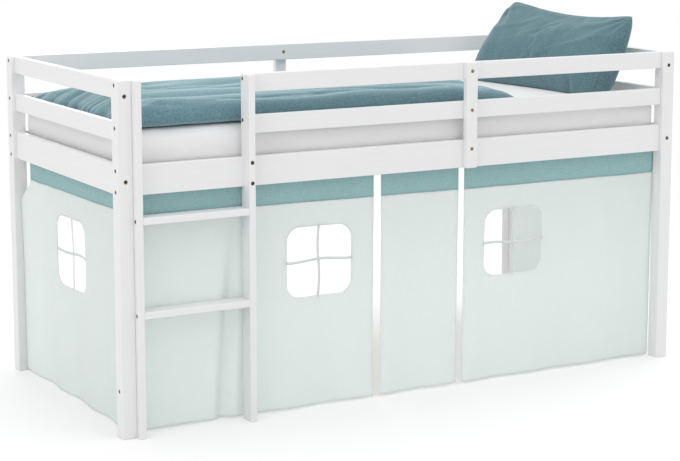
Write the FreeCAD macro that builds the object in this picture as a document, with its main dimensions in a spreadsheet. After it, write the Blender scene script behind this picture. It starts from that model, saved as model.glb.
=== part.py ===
import FreeCAD, Part
import math
import os
import re

# Half-high children's bed with a bolted ladder and curtains, in millimetres.
# +X runs along the bed, +Y from the ladder side to the rear, +Z up. The origin is on the floor, in the
# middle of the footprint.

SIZES = (
    # Posts and rails
    ("bed_length", 2090),
    ("bed_width", 980),
    ("bed_height", 1092),
    ("post_side", 47),
    ("rail_thickness", 22),
    ("guard_height", 57),
    ("side_rail_height", 92),
    ("level_pitch", 128),
    ("edge_radius", 2.5),
    ("stile_width", 42),
    ("stile_thickness", 22),
    # Ladder
    ("ladder_width", 397),
    ("upright_thickness", 22),
    ("upright_proud", 22.5),
    ("rung_thickness", 22),
    ("lower_rung_height", 381),
    ("upper_rung_drop", 75),
    ("rung_bolt_inset", 12),
    ("rung_dowel_inset", 42),
    ("ladder_foot_bolt_height", 146),
    # Bolts and their holes
    ("bolt_drop", 15),
    ("lower_bolt_drop", 79),
    ("cross_bolt_drop", 47),
    ("bolt_diameter", 6),
    ("bolt_clearance", 0.2),
    ("head_diameter", 12),
    ("head_height", 5),
    ("head_recess", 1),
    ("head_clearance", 0.5),
    ("socket_radius", 2.9),
    ("socket_depth", 3.5),
    ("thread_overrun", 6),
    ("cut_overrun", 5),
    # Nuts and dowels
    ("nut_setback", 30),
    ("barrel_diameter", 10),
    ("barrel_length", 16),
    ("insert_diameter", 10),
    ("insert_length", 14),
    ("seat_clearance", 0.1),
    ("dowel_diameter", 8),
    ("dowel_length", 30),
    ("dowel_drop", 42),
    ("upper_end_dowel_drop", 20),
    ("lower_end_dowel_drop", 72),
    # Slatted base
    ("batten_width", 22),
    ("batten_height", 30),
    ("batten_end_gap", 60),
    ("screw_diameter", 4),
    ("screw_head_diameter", 8),
    ("screw_head_height", 3),
    ("screw_grip", 14),
    ("screw_end_inset", 80),
    ("screw_count", 6),
    ("slat_thickness", 15),
    ("slat_width", 70),
    ("slat_count", 14),
    ("slat_end_gap", 12),
    ("slat_side_gap", 2),
    ("webbing_width", 25),
    ("webbing_thickness", 1.5),
    ("webbing_inset", 210),
    # Bedding
    ("soft_gap", 0.3),
    ("mattress_end_gap", 10.5),
    ("mattress_side_gap", 5.5),
    ("mattress_thickness", 120),
    ("mattress_top_drop", 157),
    ("mattress_edge_roll", 14),
    ("mattress_corner_radius", 45),
    ("duvet_thickness", 62),
    ("duvet_margin", 8),
    ("duvet_front_setback", 580),
    ("duvet_rear_setback", 392),
    ("duvet_edge_roll", 26),
    ("duvet_crown_inset", 150),
    ("duvet_corner_radius", 60),
    ("pillow_length", 735),
    ("pillow_height", 362),
    ("pillow_thickness", 170),
    ("pillow_draw_in", 20),
    ("pillow_lean_angle", 47),
    ("pillow_setback", 48),
    # Curtains
    ("cloth_thickness", 1.4),
    ("curtain_end_gap", 10),
    ("tape_height", 20),
    ("tape_thickness", 1.5),
    ("tape_edge_gap", 2),
    ("header_drop", 75),
    ("hinge_gap", 0.8),
    ("hem_clearance", 6),
    ("top_fold_depth", 0.3),
    ("header_fold_depth", 0.3),
    ("hem_fold_depth", 8),
    ("front_left_curtain_width", 840),
    ("first_slit_width", 28),
    ("front_middle_curtain_width", 297),
    ("second_slit_width", 23),
    ("long_fold_count", 7),
    ("short_fold_count", 3),
    ("window_width", 232),
    ("window_height", 225),
    ("window_radius", 45),
    ("window_edge_distance", 200),
    ("window_drop", 193),
    ("ribbon_width", 9),
    ("ribbon_overlap", 10),
)

# Faces, levels and planes that more than one piece is built on.
PLACES = (
    ("rail_inset", "(post_side - rail_thickness) / 2"),
    ("rear_proud", "stile_thickness - rail_inset"),
    ("left_face", "-bed_length / 2"),
    ("right_face", "bed_length / 2"),
    ("front_face", "(upright_proud - rear_proud - bed_width) / 2"),
    ("back_face", "front_face + bed_width"),
    ("left_inner", "left_face + post_side"),
    ("right_inner", "right_face - post_side"),
    ("front_inner", "front_face + post_side"),
    ("back_inner", "back_face - post_side"),
    ("left_axis", "left_face + post_side / 2"),
    ("right_axis", "right_face - post_side / 2"),
    ("front_axis", "front_face + post_side / 2"),
    ("back_axis", "back_face - post_side / 2"),
    ("front_rail_face", "front_face + rail_inset"),
    ("front_rail_back", "front_rail_face + rail_thickness"),
    ("rear_rail_face", "back_face - rail_inset - rail_thickness"),
    ("left_rail_face", "left_face + rail_inset"),
    ("left_rail_back", "left_rail_face + rail_thickness"),
    ("right_rail_face", "right_face - rail_inset - rail_thickness"),
    ("lower_guard_top", "bed_height - level_pitch"),
    ("side_rail_top", "bed_height - 2 * level_pitch"),
    ("side_rail_bottom", "side_rail_top - side_rail_height"),
    ("upper_rung_height", "side_rail_bottom - upper_rung_drop"),
    ("upright_front", "front_face - upright_proud"),
    ("upright_depth", "front_rail_back - upright_front"),
    ("ladder_inner", "left_inner + upright_thickness"),
    ("ladder_right", "left_inner + ladder_width"),
    ("right_upright_face", "ladder_right - upright_thickness"),
    ("front_stile_axis", "(ladder_right + right_inner) / 2"),
    ("mattress_length", "right_rail_face - left_rail_back - 2 * mattress_end_gap"),
    ("mattress_width", "rear_rail_face - front_rail_back - 2 * mattress_side_gap"),
    ("mattress_top", "bed_height - mattress_top_drop"),
    ("mattress_bottom", "mattress_top - mattress_thickness"),
    ("slat_bottom", "mattress_bottom - soft_gap - slat_thickness"),
    ("batten_bottom", "slat_bottom - batten_height"),
    ("header_line", "side_rail_bottom - header_drop"),
    ("tape_bottom", "side_rail_bottom + tape_edge_gap"),
    ("tape_top", "tape_bottom + tape_height"),
)

SIZE_NAMES = {name for name, _ in SIZES}
NAME = re.compile(r"[a-z]+(?:_[a-z]+)+")

# How each direction turns a piece that is drawn along +Z.
X_AXIS = FreeCAD.Vector(1, 0, 0)
Z_AXIS = FreeCAD.Vector(0, 0, 1)
CYCLE = FreeCAD.Rotation(FreeCAD.Vector(1, 1, 1), 120)
TURNS = {
    "+X": CYCLE,
    "-X": FreeCAD.Rotation(Z_AXIS, 180) * CYCLE,
    "+Y": FreeCAD.Rotation(X_AXIS, -90),
    "-Y": FreeCAD.Rotation(X_AXIS, 90),
    "+Z": FreeCAD.Rotation(),
    "-Z": FreeCAD.Rotation(X_AXIS, 180),
}

# Heights and insets of a soft edge, as shares of its thickness and of its roll.
MATTRESS_EDGE_SHARES = ((0, 1), (0.16, 0.2), (0.5, 0), (0.84, 0.2), (1, 1))
DUVET_EDGE_SHARES = ((0, 0.7), (0.2, 0.1), (0.5, 0), (0.75, 0.5))
PILLOW_SECTION_SHARES = ((-0.5, 0.3), (-0.38, 0.66), (-0.2, 0.88), (0, 1), (0.2, 0.88), (0.38, 0.66), (0.5, 0.3))

doc = FreeCAD.newDocument("HighSleeperBed")
sheet = doc.addObject("Spreadsheet::Sheet", "Sizes")
places = doc.addObject("App::VarSet", "Places")
timbers = {}
drillings = {}
nodes = []


def qualified(formula):
    """Return a formula with the owner of each name written out."""
    def owner(match):
        return ("Sizes." if match[0] in SIZE_NAMES else "Places.") + match[0]
    return NAME.sub(owner, formula)


def bind(item, path, formula):
    """Tie a property to a formula in the names of sizes and places."""
    item.setExpression(path, qualified(formula))


def place(item, point, axis="+Z"):
    """Turn an item from +Z to an axis and tie its origin to a point of three formulas."""
    item.Placement = FreeCAD.Placement(FreeCAD.Vector(), TURNS[axis])
    for letter, formula in zip("xyz", point):
        bind(item, f"Placement.Base.{letter}", formula)
    return item


def value(name):
    """Return a size or a place as a number."""
    if name in SIZE_NAMES:
        return float(sheet.get(name))
    return float(getattr(places, name))


def step(point, axis, distance):
    """Return the point that lies a distance further along an axis."""
    sign, letter = axis
    moved = list(point)
    index = "XYZ".index(letter)
    moved[index] = f"({moved[index]} {sign} ({distance}))"
    return tuple(moved)


def fill_sheet():
    """Write the sizes into the sheet and the derived places into their set."""
    for row, (name, size) in enumerate(SIZES, start=1):
        sheet.set(f"A{row}", name)
        sheet.set(f"B{row}", str(size))
        sheet.setAlias(f"B{row}", name)
    doc.recompute()
    for name, formula in PLACES:
        places.addProperty("App::PropertyFloat", name)
        bind(places, name, formula)
    doc.recompute()


def box(name, size, point):
    """Make a plain box."""
    item = doc.addObject("Part::Box", name)
    for side, formula in zip(("Length", "Width", "Height"), size):
        bind(item, side, formula)
    return place(item, point)


def rod(name, diameter, length, point=("0", "0", "0"), axis="+Z"):
    """Make a cylinder that starts at a point and runs along an axis."""
    item = doc.addObject("Part::Cylinder", name)
    bind(item, "Radius", f"({diameter}) / 2")
    bind(item, "Height", length)
    return place(item, point, axis)


def joined(name, items):
    """Fuse items into one solid."""
    item = doc.addObject("Part::MultiFuse", name)
    item.Shapes = items
    return item


def cut(name, base, tool):
    """Cut a tool out of a base."""
    item = doc.addObject("Part::Cut", name)
    item.Base = base
    item.Tool = tool
    return item


def copies(template, spots):
    """Place a copy of a template at each (axis, point)."""
    links = []
    for axis, point in spots:
        link = doc.addObject("App::Link", template.Name + "Copy")
        link.LinkedObject = template
        link.LinkTransform = True
        links.append(place(link, point, axis))
    return links


def publish(item, label):
    """Name an object as a finished piece of the bed."""
    item.Label = label
    nodes.append(item)
    return item


def group(label, items):
    """Publish separate solids as one piece."""
    item = doc.addObject("Part::Compound", label)
    item.Links = items
    return publish(item, label)


def timber(label, size, point):
    """Make a planed board or post with eased edges, to be drilled later."""
    body = doc.addObject("PartDesign::Body", label + "_blank")
    blank = body.newObject("PartDesign::AdditiveBox", label + "_box")
    for side, formula in zip(("Length", "Width", "Height"), size):
        bind(blank, side, formula)
    doc.recompute()
    easing = body.newObject("PartDesign::Fillet", label + "_easing")
    easing.Base = (blank, ["Edge1"])
    easing.UseAllEdges = True
    bind(easing, "Radius", "edge_radius")
    place(body, point)
    timbers[label] = body
    drillings[label] = []


def drill(labels, tools):
    """Note the tools that cut into some timbers."""
    for label in labels:
        drillings[label] += tools


def make_posts():
    """Make the four corner posts."""
    size = ("post_side", "post_side", "bed_height")
    for label, x, y in (
        ("front_left_post", "left_face", "front_face"),
        ("front_right_post", "right_inner", "front_face"),
        ("rear_left_post", "left_face", "back_inner"),
        ("rear_right_post", "right_inner", "back_inner"),
    ):
        timber(label, size, (x, y, "0"))


def make_rails():
    """Make the side rails and guard rails of the four sides."""
    levels = (
        ("top_guard_rail", "guard_height", "bed_height - guard_height"),
        ("lower_guard_rail", "guard_height", "lower_guard_top - guard_height"),
        ("side_rail", "side_rail_height", "side_rail_bottom"),
    )
    for level, height, z in levels:
        front_start = "left_inner" if level == "side_rail" else "ladder_right"
        for label, start, y in (
            ("front_" + level, front_start, "front_rail_face"),
            ("rear_" + level, "left_inner", "rear_rail_face"),
        ):
            timber(label, (f"right_inner - {start}", "rail_thickness", height), (start, y, z))
        for label, x in (("left_" + level, "left_rail_face"), ("right_" + level, "right_rail_face")):
            timber(label, ("rail_thickness", "back_inner - front_inner", height), (x, "front_inner", z))


def make_stiles():
    """Make the upright boards that tie the long guard rails together."""
    size = ("stile_width", "stile_thickness", "bed_height - side_rail_bottom")
    front = ("front_stile_axis - stile_width / 2", "front_rail_face - stile_thickness", "side_rail_bottom")
    rear = ("-stile_width / 2", "rear_rail_face + rail_thickness", "side_rail_bottom")
    timber("front_guard_stile", size, front)
    timber("rear_guard_stile", size, rear)


def make_ladder():
    """Make the ladder, whose uprights are notched over the front side rail."""
    for label, x in (("ladder_left_upright", "left_inner"), ("ladder_right_upright", "right_upright_face")):
        timber(label, ("upright_thickness", "upright_depth", "bed_height"), (x, "upright_front", "0"))
        notch_size = ("upright_thickness + 2 * cut_overrun", "rail_thickness + cut_overrun", "side_rail_height")
        notch = box(label + "_notch", notch_size, (f"{x} - cut_overrun", "front_rail_face", "side_rail_bottom"))
        drill([label], [notch])
    size = ("right_upright_face - ladder_inner", "upright_depth", "rung_thickness")
    for label, height in (("lower_rung", "lower_rung_height"), ("upper_rung", "upper_rung_height")):
        timber(label, size, ("ladder_inner", "upright_front", f"{height} - rung_thickness / 2"))


def bolt_kind(name, reach):
    """Make a hex-socket bolt of one length and the tool that drills for it.

    Both start at the surface that the head is sunk into and run along +Z.
    """
    seat = "head_recess + head_height"
    head = rod(name + "_head", "head_diameter", "head_height", ("0", "0", "head_recess"))
    shank = rod(name + "_shank", "bolt_diameter", f"{reach} - head_recess", ("0", "0", "head_recess"))
    socket = doc.addObject("Part::Prism", name + "_socket")
    socket.Polygon = 6
    bind(socket, "Circumradius", "socket_radius")
    bind(socket, "Height", "socket_depth + head_recess")
    bolt = cut(name, joined(name + "_blank", [head, shank]), socket)
    mouth = rod(
        name + "_mouth", "head_diameter + 2 * head_clearance", f"{seat} + cut_overrun", ("0", "0", "-cut_overrun")
    )
    bore = rod(name + "_bore", "bolt_diameter + 2 * bolt_clearance", f"{reach} + bolt_clearance")
    return bolt, joined(name + "_drill", [mouth, bore])


def make_bolts():
    """Place every bolt with its nut, and drill the timbers that it passes through."""
    barrel_reach = "nut_setback + barrel_diameter / 2 + thread_overrun"
    post_bolt, post_drill = bolt_kind("post_bolt", f"post_side + {barrel_reach}")
    ladder_bolt, ladder_drill = bolt_kind("ladder_bolt", f"upright_thickness + {barrel_reach}")
    upright_bolt, upright_drill = bolt_kind("upright_bolt", "post_side + insert_length")
    step_bolt, step_drill = bolt_kind("step_bolt", "upright_depth - rail_thickness + insert_length")
    stile_bolt, stile_drill = bolt_kind("stile_bolt", "stile_thickness + insert_length")
    rail_bolt, rail_drill = bolt_kind("rail_bolt", "rail_thickness + insert_length")

    bore = "bolt_diameter + 2 * bolt_clearance"
    nut_blank = rod("nut_blank", "barrel_diameter", "barrel_length", ("0", "0", "-barrel_length / 2"))
    nut_bore = rod("nut_bore", bore, "2 * barrel_diameter", ("-barrel_diameter", "0", "0"), "+X")
    barrel_nut = cut("barrel_nut", nut_blank, nut_bore)
    nut_drill = rod(
        "nut_drill",
        "barrel_diameter + 2 * seat_clearance",
        "barrel_length + rail_thickness / 2 + cut_overrun",
        ("0", "0", "-barrel_length / 2 - seat_clearance"),
    )
    insert_nut = cut("insert_nut", rod("insert_blank", "insert_diameter", "insert_length"),
                     rod("insert_bore", bore, "insert_length + cut_overrun"))
    insert_drill = rod("insert_drill", "insert_diameter + 2 * seat_clearance", "insert_length")

    spots = {}
    nut_spots = []
    insert_spots = []

    def add_bolt(label, bolt, tool, axis, point, labels):
        """Place one bolt and drill its timbers."""
        spots.setdefault(label, []).extend(copies(bolt, [(axis, point)]))
        drill(labels, copies(tool, [(axis, point)]))

    def barrel_bolt(label, bolt, tool, axis, point, span, opening, through, into):
        """Place a bolt that ends in a barrel nut of the timber past the first."""
        add_bolt(label, bolt, tool, axis, point, (through, into))
        spot = (opening, step(point, axis, f"{span} + nut_setback"))
        nut_spots.append(spot)
        drill([into], copies(nut_drill, [spot]))

    def insert_bolt(label, bolt, tool, axis, point, span, through, into):
        """Place a bolt that ends in an insert nut of the timber past the first."""
        add_bolt(label, bolt, tool, axis, point, (through, into))
        spot = (axis, step(point, axis, span))
        insert_spots.append(spot)
        drill([into], copies(insert_drill, [spot]))

    rail_bolts = (
        ("top_guard_rail", "bed_height - bolt_drop"),
        ("lower_guard_rail", "lower_guard_top - bolt_drop"),
        ("side_rail", "side_rail_top - bolt_drop"),
        ("side_rail", "side_rail_top - lower_bolt_drop"),
    )
    for end, axis, x in (("left", "+X", "left_face"), ("right", "-X", "right_face")):
        for side, y, opening in (("front", "front_axis", "+Y"), ("rear", "back_axis", "-Y")):
            for level, z in rail_bolts:
                post = f"{side}_{end}_post"
                if post == "front_left_post" and level != "side_rail":
                    insert_bolt("ladder_post_bolts", upright_bolt, upright_drill, axis, (x, y, z),
                                "post_side", post, "ladder_left_upright")
                    continue
                barrel_bolt("post_bolts", post_bolt, post_drill, axis, (x, y, z),
                            "post_side", opening, post, f"{side}_{level}")
    insert_bolt("ladder_post_bolts", upright_bolt, upright_drill, "+X",
                ("left_face", "front_axis", "ladder_foot_bolt_height"),
                "post_side", "front_left_post", "ladder_left_upright")

    for side, axis, y in (("front", "+Y", "front_face"), ("rear", "-Y", "back_face")):
        for end, x, opening in (("left", "left_axis", "+X"), ("right", "right_axis", "-X")):
            for level, top in (("top_guard_rail", "bed_height"), ("side_rail", "side_rail_top")):
                barrel_bolt("post_bolts", post_bolt, post_drill, axis, (x, y, f"{top} - cross_bolt_drop"),
                            "post_side", opening, f"{side}_{end}_post", f"{end}_{level}")

    for level, z in rail_bolts[:2]:
        barrel_bolt("ladder_bolts", ladder_bolt, ladder_drill, "+X", ("right_upright_face", "front_axis", z),
                    "upright_thickness", "+Y", "ladder_right_upright", f"front_{level}")
    rung_y = "upright_front + rung_bolt_inset"
    for rung, z in (("lower_rung", "lower_rung_height"), ("upper_rung", "upper_rung_height")):
        for upright, axis, x in (
            ("ladder_left_upright", "+X", "left_inner"),
            ("ladder_right_upright", "-X", "ladder_right"),
        ):
            barrel_bolt("ladder_bolts", ladder_bolt, ladder_drill, axis, (x, rung_y, z),
                        "upright_thickness", "-Z", upright, rung)

    for drop in ("bolt_drop", "lower_bolt_drop"):
        point = ("ladder_right - upright_thickness / 2", "upright_front", f"side_rail_top - {drop}")
        insert_bolt("ladder_rail_bolts", step_bolt, step_drill, "+Y", point,
                    "upright_depth - rail_thickness", "ladder_right_upright", "front_side_rail")

    for index, level in enumerate(("top_guard_rail", "lower_guard_rail", "side_rail")):
        z = f"bed_height - guard_height / 2 - {index} * level_pitch"
        front = ("front_stile_axis", "front_rail_face - stile_thickness", z)
        insert_bolt("stile_bolts", stile_bolt, stile_drill, "+Y", front,
                    "stile_thickness", "front_guard_stile", f"front_{level}")
        rear = ("0", "rear_rail_face", z)
        insert_bolt("stile_bolts", rail_bolt, rail_drill, "+Y", rear,
                    "rail_thickness", f"rear_{level}", "rear_guard_stile")

    for label, links in spots.items():
        group(label, links)
    group("barrel_nuts", copies(barrel_nut, nut_spots))
    group("insert_nuts", copies(insert_nut, insert_spots))


def make_dowels():
    """Place the dowels that keep the rails and rungs from turning on their bolts."""
    dowel = rod("dowel", "dowel_diameter", "dowel_length", ("0", "0", "-dowel_length / 2"))
    tool = rod("dowel_drill", "dowel_diameter + 2 * seat_clearance", "dowel_length + 2 * seat_clearance",
               ("0", "0", "-dowel_length / 2 - seat_clearance"))
    spots = []

    def add_dowel(axis, point, labels):
        """Place one dowel across the seam of two timbers."""
        spots.append((axis, point))
        drill(labels, copies(tool, [(axis, point)]))

    for level, top in (("top_guard_rail", "bed_height"), ("lower_guard_rail", "lower_guard_top")):
        z = f"{top} - dowel_drop"
        add_dowel("+X", ("ladder_right", "front_axis", z), ("ladder_right_upright", f"front_{level}"))
        add_dowel("+X", ("right_inner", "front_axis", z), ("front_right_post", f"front_{level}"))
        add_dowel("+X", ("left_inner", "back_axis", z), ("rear_left_post", f"rear_{level}"))
        add_dowel("+X", ("right_inner", "back_axis", z), ("rear_right_post", f"rear_{level}"))

    end_dowels = (
        ("top_guard_rail", "bed_height - upper_end_dowel_drop"),
        ("lower_guard_rail", "lower_guard_top - bolt_drop"),
        ("lower_guard_rail", "lower_guard_top - dowel_drop"),
        ("side_rail", "side_rail_top - upper_end_dowel_drop"),
        ("side_rail", "side_rail_top - lower_end_dowel_drop"),
    )
    for end, x in (("left", "left_axis"), ("right", "right_axis")):
        for side, y in (("front", "front_inner"), ("rear", "back_inner")):
            for level, z in end_dowels:
                add_dowel("+Y", (x, y, z), (f"{side}_{end}_post", f"{end}_{level}"))

    y = "upright_front + rung_dowel_inset"
    for rung, z in (("lower_rung", "lower_rung_height"), ("upper_rung", "upper_rung_height")):
        add_dowel("+X", ("ladder_inner", y, z), ("ladder_left_upright", rung))
        add_dowel("+X", ("right_upright_face", y, z), ("ladder_right_upright", rung))
    group("dowels", copies(dowel, spots))


def make_base():
    """Make the battens on the side rails, their screws, the slats and their webbing."""
    start = "left_inner + batten_end_gap"
    run = "right_inner - left_inner - 2 * batten_end_gap"
    size = (run, "batten_width", "batten_height")
    timber("front_batten", size, (start, "front_rail_back", "batten_bottom"))
    timber("rear_batten", size, (start, "rear_rail_face - batten_width", "batten_bottom"))

    cone = doc.addObject("Part::Cone", "screw_cone")
    bind(cone, "Radius1", "screw_head_diameter / 2")
    bind(cone, "Radius2", "screw_diameter / 2")
    bind(cone, "Height", "screw_head_height")
    reach = "batten_width + screw_grip"
    screw = joined("screw", [cone, rod("screw_shank", "screw_diameter", reach)])
    sink = doc.addObject("Part::Cone", "screw_sink")
    bind(sink, "Radius1", "screw_head_diameter / 2 + seat_clearance")
    bind(sink, "Radius2", "screw_diameter / 2 + seat_clearance")
    bind(sink, "Height", "screw_head_height")
    pilot = rod("screw_pilot", "screw_diameter + 2 * seat_clearance", f"{reach} + seat_clearance")
    tool = joined("screw_drill", [sink, pilot])
    count = int(value("screw_count"))
    spots = []
    z = "batten_bottom + batten_height / 2"
    for index in range(count):
        x = f"{start} + screw_end_inset + ({run} - 2 * screw_end_inset) * {index} / ({count} - 1)"
        for side, axis, y in (
            ("front", "-Y", "front_rail_back + batten_width"),
            ("rear", "+Y", "rear_rail_face - batten_width"),
        ):
            spots.append((axis, (x, y, z)))
            drill((f"{side}_batten", f"{side}_side_rail"), copies(tool, [(axis, (x, y, z))]))
    group("batten_screws", copies(screw, spots))

    count = int(value("slat_count"))
    length = "rear_rail_face - front_rail_back - 2 * slat_side_gap"
    slat = box("slat", ("slat_width", length, "slat_thickness"), ("0", "0", "0"))
    first = "left_inner + slat_end_gap"
    travel = "right_inner - left_inner - 2 * slat_end_gap - slat_width"
    spots = []
    for index in range(count):
        x = f"{first} + ({travel}) * {index} / ({count} - 1)"
        spots.append(("+Z", (x, "front_rail_back + slat_side_gap", "slat_bottom")))
    group("slats", copies(slat, spots))

    size = (f"{travel} + slat_width", "webbing_width", "webbing_thickness")
    z = "slat_bottom - webbing_thickness"
    group("slat_webbing", [
        box("front_strap", size, (first, "front_rail_back + webbing_inset", z)),
        box("rear_strap", size, (first, "rear_rail_face - webbing_inset - webbing_width", z)),
    ])


def finish_timbers():
    """Drill each timber and publish it."""
    for label, body in timbers.items():
        tools = drillings[label]
        tool = tools[0] if len(tools) == 1 else joined(label + "_drilling", tools)
        publish(cut(label, body, tool), label)


def soft_piece(label, shape, base=FreeCAD.Vector(), rotation=FreeCAD.Rotation()):
    """Publish a free-form shape."""
    item = doc.addObject("Part::Feature", label)
    item.Shape = shape
    item.Placement = FreeCAD.Placement(base, rotation)
    return publish(item, label)


def rounded_outline(corners, radius, z):
    """Return a closed wire through corners, given anticlockwise, with each corner rounded."""
    points = [FreeCAD.Vector(x, y, z) for x, y in corners]
    arcs = []
    for index, corner in enumerate(points):
        back = (points[index - 1] - corner).normalize()
        ahead = (points[(index + 1) % len(points)] - corner).normalize()
        half = back.getAngle(ahead) / 2
        run = radius / math.tan(half)
        middle = (back + ahead).normalize() * (radius / math.sin(half) - radius)
        arcs.append((corner + back * run, corner + middle, corner + ahead * run))
    edges = []
    for index, (start, middle, end) in enumerate(arcs):
        edges.append(Part.Arc(start, middle, end).toShape())
        edges.append(Part.makeLine(end, arcs[(index + 1) % len(arcs)][0]))
    return Part.Wire(edges)


def make_mattress():
    """Make the mattress with rolled edges and rounded corners."""
    thickness = value("mattress_thickness")
    roll = value("mattress_edge_roll")
    middle = (value("front_face") + value("back_face")) / 2
    wires = []
    for height_share, inset_share in MATTRESS_EDGE_SHARES:
        inset = roll * inset_share
        half_x = value("mattress_length") / 2 - inset
        half_y = value("mattress_width") / 2 - inset
        corners = ((-half_x, -half_y), (half_x, -half_y), (half_x, half_y), (-half_x, half_y))
        wires.append(rounded_outline(corners, value("mattress_corner_radius"), thickness * height_share))
    shape = Part.makeLoft(wires, True, True)
    soft_piece("mattress", shape, FreeCAD.Vector(0, middle, value("mattress_bottom")))


def make_duvet():
    """Make the duvet, which covers the bed up to a slanting edge short of the pillow."""
    thickness = value("duvet_thickness")
    roll = value("duvet_edge_roll")
    radius = value("duvet_corner_radius")
    margin = value("duvet_margin")
    half_width = value("mattress_width") / 2 - margin
    front_length = value("mattress_length") - margin - value("duvet_front_setback")
    rear_length = value("mattress_length") - margin - value("duvet_rear_setback")
    sections = [(thickness * height_share, roll * share) for height_share, share in DUVET_EDGE_SHARES]
    sections.append((thickness, value("duvet_crown_inset")))
    wires = []
    for height, inset in sections:
        corners = (
            (inset, inset - half_width),
            (front_length - inset, inset - half_width),
            (rear_length - inset, half_width - inset),
            (inset, half_width - inset),
        )
        wires.append(rounded_outline(corners, radius, height))
    shape = Part.makeLoft(wires, True, True)
    start = margin - value("mattress_length") / 2
    middle = (value("front_face") + value("back_face")) / 2
    soft_piece("duvet", shape, FreeCAD.Vector(start, middle, value("mattress_top") + value("soft_gap")))


def make_pillow():
    """Make the pillow, with drawn-in sides, leaning back at the right end."""
    half_length = value("pillow_length") / 2
    half_height = value("pillow_height") / 2
    draw_in = value("pillow_draw_in")
    wires = []
    for offset_share, scale_share in PILLOW_SECTION_SHARES:
        z = value("pillow_thickness") * offset_share
        tips = []
        for x, y in ((-1, -1), (1, -1), (1, 1), (-1, 1)):
            tips.append(FreeCAD.Vector(x * half_height * scale_share, y * half_length * scale_share, z))
        edges = []
        for index, tip in enumerate(tips):
            end = tips[(index + 1) % len(tips)]
            middle = (tip + end) * 0.5
            inward = FreeCAD.Vector(-middle.x, -middle.y, 0).normalize() * (draw_in * scale_share)
            edges.append(Part.Arc(tip, middle + inward, end).toShape())
        wires.append(Part.Wire(edges))
    shape = Part.makeLoft(wires, True, True)
    lean = FreeCAD.Rotation(FreeCAD.Vector(0, -1, 0), value("pillow_lean_angle"))
    shape.Placement = FreeCAD.Placement(FreeCAD.Vector(), lean)
    bounds = shape.BoundBox
    base = FreeCAD.Vector(
        value("right_rail_face") - value("pillow_setback") - bounds.XMax,
        (value("front_face") + value("back_face")) / 2,
        value("mattress_top") + value("soft_gap") - bounds.ZMin,
    )
    soft_piece("pillow", shape, base, lean)


def fold_wire(width, depth, folds, z):
    """Return the closed outline of a folded cloth seen from above.

    The cloth runs along +X from the origin and its folds stand to the +Y side.
    """
    pitch = width / folds
    thickness = FreeCAD.Vector(0, value("cloth_thickness"), 0)
    front = []
    for index in range(folds):
        side = 1 if index % 2 else -1
        start = FreeCAD.Vector(index * pitch, depth, z)
        middle = FreeCAD.Vector((index + 1 / 2) * pitch, depth + side * depth, z)
        end = FreeCAD.Vector((index + 1) * pitch, depth, z)
        front.append((start, middle, end))
    edges = [Part.Arc(*points).toShape() for points in front]
    edges.append(Part.makeLine(front[-1][2], front[-1][2] + thickness))
    for start, middle, end in reversed(front):
        edges.append(Part.Arc(end + thickness, middle + thickness, start + thickness).toShape())
    edges.append(Part.makeLine(front[0][0] + thickness, front[0][0]))
    return Part.Wire(edges)


def folded_cloth(width, folds, upper, lower):
    """Return cloth between two (height, fold depth) levels."""
    wires = [fold_wire(width, depth, folds, z) for z, depth in (lower, upper)]
    return Part.makeLoft(wires, True, True)


def block(center_x, z, width, height):
    """Return an upright block that passes right through a curtain's folds."""
    reach = value("hem_fold_depth") * 2 + value("cloth_thickness") + value("cut_overrun")
    corner = FreeCAD.Vector(center_x - width / 2, -reach, z - height / 2)
    return Part.makeBox(width, 2 * reach, height, corner)


def window_shape(center_x, z):
    """Return the rounded block that cuts a window."""
    shape = block(center_x, z, value("window_width"), value("window_height"))
    upright = FreeCAD.Vector(0, 1, 0)
    edges = [edge for edge in shape.Edges if abs(edge.tangentAt(edge.FirstParameter).dot(upright)) > 1 / 2]
    return shape.makeFillet(value("window_radius"), edges)


def make_curtain(label, width, folds, base, rotation, window_x=None):
    """Make one curtain: its header band, its skirt and the ribbon cross of its window."""
    header_level = value("header_line")
    header = folded_cloth(
        width, folds, (value("tape_top"), value("top_fold_depth")), (header_level, value("header_fold_depth"))
    )
    soft_piece(label + "_header", header, base, rotation)
    skirt = folded_cloth(
        width,
        folds,
        (header_level - value("hinge_gap"), value("header_fold_depth")),
        (value("hem_clearance"), value("hem_fold_depth")),
    )
    if window_x is None:
        soft_piece(label + "_curtain", skirt, base, rotation)
        return
    z = header_level - value("window_drop")
    soft_piece(label + "_curtain", skirt.cut(window_shape(window_x, z)), base, rotation)
    width_over = value("window_width") + 2 * value("ribbon_overlap")
    height_over = value("window_height") + 2 * value("ribbon_overlap")
    cross = block(window_x, z, width_over, value("ribbon_width"))
    cross = cross.fuse(block(window_x, z, value("ribbon_width"), height_over))
    behind = skirt.copy()
    behind.translate(FreeCAD.Vector(0, value("cloth_thickness") + value("seat_clearance"), 0))
    soft_piece(label + "_window_ribbon", behind.common(cross).removeSplitter(), base, rotation)


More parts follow.
